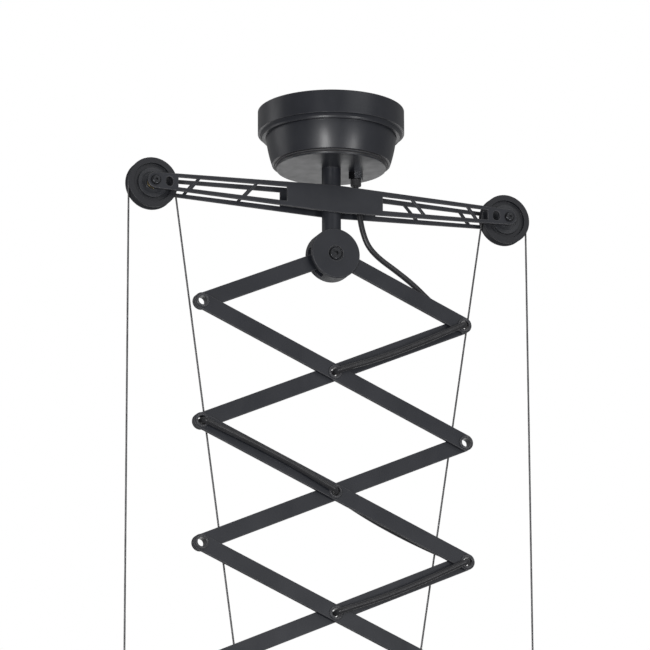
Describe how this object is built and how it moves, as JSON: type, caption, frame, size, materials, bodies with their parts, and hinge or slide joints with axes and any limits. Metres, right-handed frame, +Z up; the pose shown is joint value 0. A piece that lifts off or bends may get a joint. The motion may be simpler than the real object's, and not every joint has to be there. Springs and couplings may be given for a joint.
{
  "type": "ceiling scissor pulley hanger",
  "caption": "Black ceiling canopy with a cut-out crossbar, rope pulleys and a lazy-tongs scissor that raises and lowers a lamp, cable threaded through its hollow rivets",
  "frame": {"origin": "on the ceiling plane, over the middle of the stem, at the centre of the two ceiling screw slots", "axes": "+Z up, +X along the crossbar to the right as seen from the front, +Y away from the viewer"},
  "size_m": [0.447, 0.15, 0.6907],
  "materials": {
    "canopy_enamel": "satin black stove enamel with a blue cast, soft highlights",
    "black_paint": "matt black powder paint on flat steel, thin bright wear on the edges",
    "pulley_black": "dark painted turned steel with fine turning rings",
    "dark_bolt": "black oiled bolt steel with a dull shine",
    "eyelet_steel": "blackened rolled steel eyelets, rubbed on the rims",
    "zinc_plated": "zinc plated fixing hardware inside the canopy",
    "bush_brass": "plain brass bearing bush",
    "wire_rope": "dark thin steel wire rope",
    "ferrule_metal": "dull pressed ferrule",
    "cable_rubber": "black round rubber cable with a soft sheen",
    "sleeve_rubber": "black ribbed rubber sleeve"
  },
  "bodies": {
    "ceiling_unit": {"canopy_ring": "canopy_enamel", "canopy_bowl": "canopy_enamel", "ceiling_bracket": "zinc_plated", "stem": "black_paint", "stem_nuts": "zinc_plated", "stem_washer": "zinc_plated", "gland_body": "dark_bolt", "gland_locknut": "zinc_plated", "gland_sleeve": "sleeve_rubber", "crossbar_front_plate": "black_paint", "crossbar_back_plate": "black_paint", "pulley_axle_bolts": "dark_bolt", "pulley_axle_nuts": "dark_bolt", "pulley_spacers": "dark_bolt", "rope_turns": "wire_rope", "upper_hub": "black_paint", "hub_bolt": "dark_bolt", "hub_nut": "dark_bolt", "cable_upper": "cable_rubber"},
    "left_pulley": {"pulley_left": "pulley_black", "pulley_bush_left": "bush_brass"},
    "right_pulley": {"pulley_right": "pulley_black", "pulley_bush_right": "bush_brass"},
    "upper_arm_left": {"upper_half_arm_left": "black_paint", "eyelet_upper_left": "eyelet_steel"},
    "upper_arm_right": {"upper_half_arm_right": "black_paint", "eyelet_upper_right": "eyelet_steel", "cable_entry": "cable_rubber"},
    "front_arm_1": {"arm_front_1": "black_paint", "eyelets_front_1": "eyelet_steel"},
    "back_arm_1": {"arm_back_1": "black_paint", "eyelet_back_1": "eyelet_steel", "cable_run_1": "cable_rubber"},
    "front_arm_2": {"arm_front_2": "black_paint", "eyelets_front_2": "eyelet_steel", "cable_run_2": "cable_rubber"},
    "back_arm_2": {"arm_back_2": "black_paint", "eyelet_back_2": "eyelet_steel"},
    "front_arm_3": {"arm_front_3": "black_paint", "eyelets_front_3": "eyelet_steel"},
    "back_arm_3": {"arm_back_3": "black_paint", "eyelet_back_3": "eyelet_steel", "cable_run_3": "cable_rubber"},
    "lower_arm_left": {"lower_half_arm_left": "black_paint", "cable_lower": "cable_rubber"},
    "lower_arm_right": {"lower_half_arm_right": "black_paint"},
    "lamp_carrier": {"lamp_hub": "black_paint", "lamp_pivot": "eyelet_steel"},
    "outer_rope_end_left": {"rope_outer_left": "wire_rope", "ferrule_outer_left": "ferrule_metal", "rope_eye_outer_left": "wire_rope"},
    "inner_rope_end_left": {"rope_inner_left": "wire_rope", "ferrule_inner_left": "ferrule_metal", "rope_eye_inner_left": "wire_rope"},
    "outer_rope_end_right": {"rope_outer_right": "wire_rope", "ferrule_outer_right": "ferrule_metal", "rope_eye_outer_right": "wire_rope"},
    "inner_rope_end_right": {"rope_inner_right": "wire_rope", "ferrule_inner_right": "ferrule_metal", "rope_eye_inner_right": "wire_rope"}
  },
  "joints": [
    {"name": "scissor_fold", "type": "hinge", "parent": "ceiling_unit", "child": "upper_arm_left", "pos_m": [0, -0.005, -0.1535], "axis": [0, -1, 0], "range_deg": [-15, 20]},
    {"name": "upper_right_fold", "type": "hinge", "parent": "ceiling_unit", "child": "upper_arm_right", "pos_m": [0, -0.005, -0.1535], "axis": [0, 1, 0], "range_deg": [-15, 20]},
    {"name": "front_1_fold", "type": "hinge", "parent": "upper_arm_left", "child": "front_arm_1", "pos_m": [-0.14112, -0.005, -0.21515], "axis": [0, 1, 0], "range_deg": [-30, 40]},
    {"name": "back_1_fold", "type": "hinge", "parent": "upper_arm_right", "child": "back_arm_1", "pos_m": [0.14112, -0.005, -0.21515], "axis": [0, -1, 0], "range_deg": [-30, 40]},
    {"name": "front_2_fold", "type": "hinge", "parent": "back_arm_1", "child": "front_arm_2", "pos_m": [-0.14112, -0.005, -0.33846], "axis": [0, 1, 0], "range_deg": [-30, 40]},
    {"name": "back_2_fold", "type": "hinge", "parent": "front_arm_1", "child": "back_arm_2", "pos_m": [0.14112, -0.005, -0.33846], "axis": [0, -1, 0], "range_deg": [-30, 40]},
    {"name": "front_3_fold", "type": "hinge", "parent": "back_arm_2", "child": "front_arm_3", "pos_m": [-0.14112, -0.005, -0.46177], "axis": [0, 1, 0], "range_deg": [-30, 40]},
    {"name": "back_3_fold", "type": "hinge", "parent": "front_arm_2", "child": "back_arm_3", "pos_m": [0.14112, -0.005, -0.46177], "axis": [0, -1, 0], "range_deg": [-30, 40]},
    {"name": "lower_left_fold", "type": "hinge", "parent": "back_arm_3", "child": "lower_arm_left", "pos_m": [-0.14112, -0.005, -0.58508], "axis": [0, 1, 0], "range_deg": [-30, 40]},
    {"name": "lower_right_fold", "type": "hinge", "parent": "front_arm_3", "child": "lower_arm_right", "pos_m": [0.14112, -0.005, -0.58508], "axis": [0, -1, 0], "range_deg": [-30, 40]},
    {"name": "lamp_level", "type": "hinge", "parent": "lower_arm_left", "child": "lamp_carrier", "pos_m": [0, -0.005, -0.64673], "axis": [0, -1, 0], "range_deg": [-15, 20]},
    {"name": "pulley_left_spin", "type": "hinge", "parent": "ceiling_unit", "child": "left_pulley", "pos_m": [-0.192, 0.0025, -0.0955], "axis": [0, 1, 0], "continuous": true},
    {"name": "counterweight_rope_left", "type": "slide", "parent": "ceiling_unit", "child": "outer_rope_end_left", "axis": [0, 0, 1], "range_m": [-0.2942, 0.3916], "deforming": ["rope_outer_left"]},
    {"name": "lamp_rope_left", "type": "slide", "parent": "ceiling_unit", "child": "inner_rope_end_left", "axis": [0, 0, 1], "range_m": [-0.3961, 0.2976], "deforming": ["rope_inner_left"]},
    {"name": "pulley_right_spin", "type": "hinge", "parent": "ceiling_unit", "child": "right_pulley", "pos_m": [0.192, 0.0025, -0.0955], "axis": [0, 1, 0], "continuous": true},
    {"name": "counterweight_rope_right", "type": "slide", "parent": "ceiling_unit", "child": "outer_rope_end_right", "axis": [0, 0, 1], "range_m": [-0.2942, 0.3916], "deforming": ["rope_outer_right"]},
    {"name": "lamp_rope_right", "type": "slide", "parent": "ceiling_unit", "child": "inner_rope_end_right", "axis": [0, 0, 1], "range_m": [-0.3961, 0.2976], "deforming": ["rope_inner_right"]}
  ],
  "couplings": [
    {"joint": "upper_right_fold", "follows": "scissor_fold", "ratio": 1},
    {"joint": "front_1_fold", "follows": "scissor_fold", "ratio": 2},
    {"joint": "back_1_fold", "follows": "scissor_fold", "ratio": 2},
    {"joint": "front_2_fold", "follows": "scissor_fold", "ratio": 2},
    {"joint": "back_2_fold", "follows": "scissor_fold", "ratio": 2},
    {"joint": "front_3_fold", "follows": "scissor_fold", "ratio": 2},
    {"joint": "back_3_fold", "follows": "scissor_fold", "ratio": 2},
    {"joint": "lower_left_fold", "follows": "scissor_fold", "ratio": 2},
    {"joint": "lower_right_fold", "follows": "scissor_fold", "ratio": 2},
    {"joint": "lamp_level", "follows": "scissor_fold", "ratio": 1},
    {"joint": "pulley_left_spin", "follows": "scissor_fold", "ratio": 46.408},
    {"joint": "counterweight_rope_left", "follows": "scissor_fold", "m_per_rad": 1.1161},
    {"joint": "lamp_rope_left", "follows": "scissor_fold", "m_per_rad": -1.129},
    {"joint": "pulley_right_spin", "follows": "scissor_fold", "ratio": -46.408},
    {"joint": "counterweight_rope_right", "follows": "scissor_fold", "m_per_rad": 1.1161},
    {"joint": "lamp_rope_right", "follows": "scissor_fold", "m_per_rad": -1.129}
  ]
}
